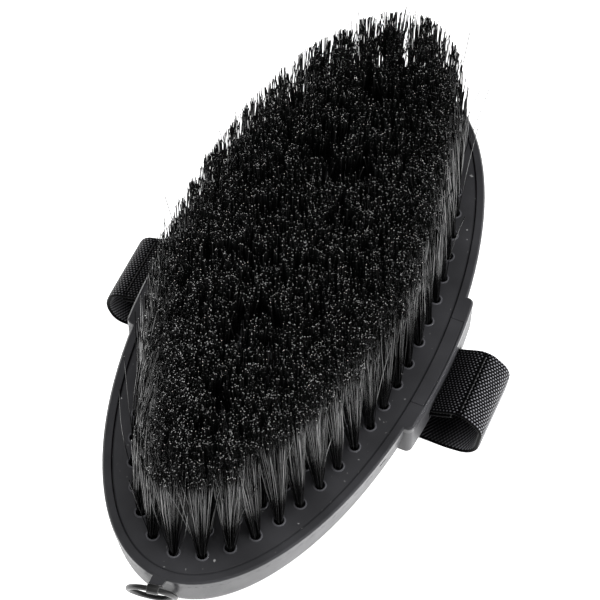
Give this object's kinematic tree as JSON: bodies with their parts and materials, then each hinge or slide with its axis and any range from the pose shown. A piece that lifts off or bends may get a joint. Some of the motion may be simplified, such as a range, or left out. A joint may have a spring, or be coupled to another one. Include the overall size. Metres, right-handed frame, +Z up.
{
  "type": "oval hand brush",
  "caption": "Oval palm brush with upright bristles, a webbing hand strap across its back and a small ring to hang it by.",
  "frame": {"origin": "on the surface that the brush lies on, under the middle of the body, at the underside of the hand strap", "axes": "+X along the body, away from the hanging loop; +Y across it to the left; +Z up, the way the bristles point"},
  "size_m": [0.2118, 0.1319, 0.0705],
  "materials": {
    "shell_plastic": "satin moulded side wall and back",
    "plate_plastic": "fine moulded grain",
    "rim_plastic": "fine moulded grain, softer sheen on the bevel",
    "bristle": "nylon filament, dark roots and greyer tips",
    "anchor_wire": "drawn wire",
    "pin_steel": "drawn wire",
    "webbing": "woven nylon webbing with a herringbone rib",
    "loop_rubber": "soft moulded rubber with a sheen"
  },
  "bodies": {
    "root": {"anchors_row_1": "anchor_wire", "anchors_row_2": "anchor_wire", "anchors_row_3": "anchor_wire", "anchors_row_4": "anchor_wire", "anchors_row_5": "anchor_wire", "anchors_row_6": "anchor_wire", "back_shell": "shell_plastic", "bristle_plate": "plate_plastic", "rim_bumper": "rim_plastic", "strap_cap_left": "rim_plastic", "strap_cap_right": "rim_plastic", "strap_pin_left": "pin_steel", "strap_pin_right": "pin_steel", "strap_side_left": "webbing", "strap_side_right": "webbing", "tufts_row_1": "bristle", "tufts_row_2": "bristle", "tufts_row_3": "bristle", "tufts_row_4": "bristle", "tufts_row_5": "bristle", "tufts_row_6": "bristle"},
    "hanging_loop": {"hanging_loop": "loop_rubber"},
    "strap_band": {"strap_palm_band": "webbing"}
  },
  "joints": [
    {"name": "loop_swing", "type": "hinge", "parent": "root", "child": "hanging_loop", "pos_m": [-0.1069, 0.0004, 0.0271], "axis": [-0.2079, 0.9781, 0], "range_deg": [0, 150]},
    {"name": "strap_lift", "type": "slide", "parent": "root", "child": "strap_band", "axis": [0, 0, -1], "range_m": [0, 0.022]}
  ]
}
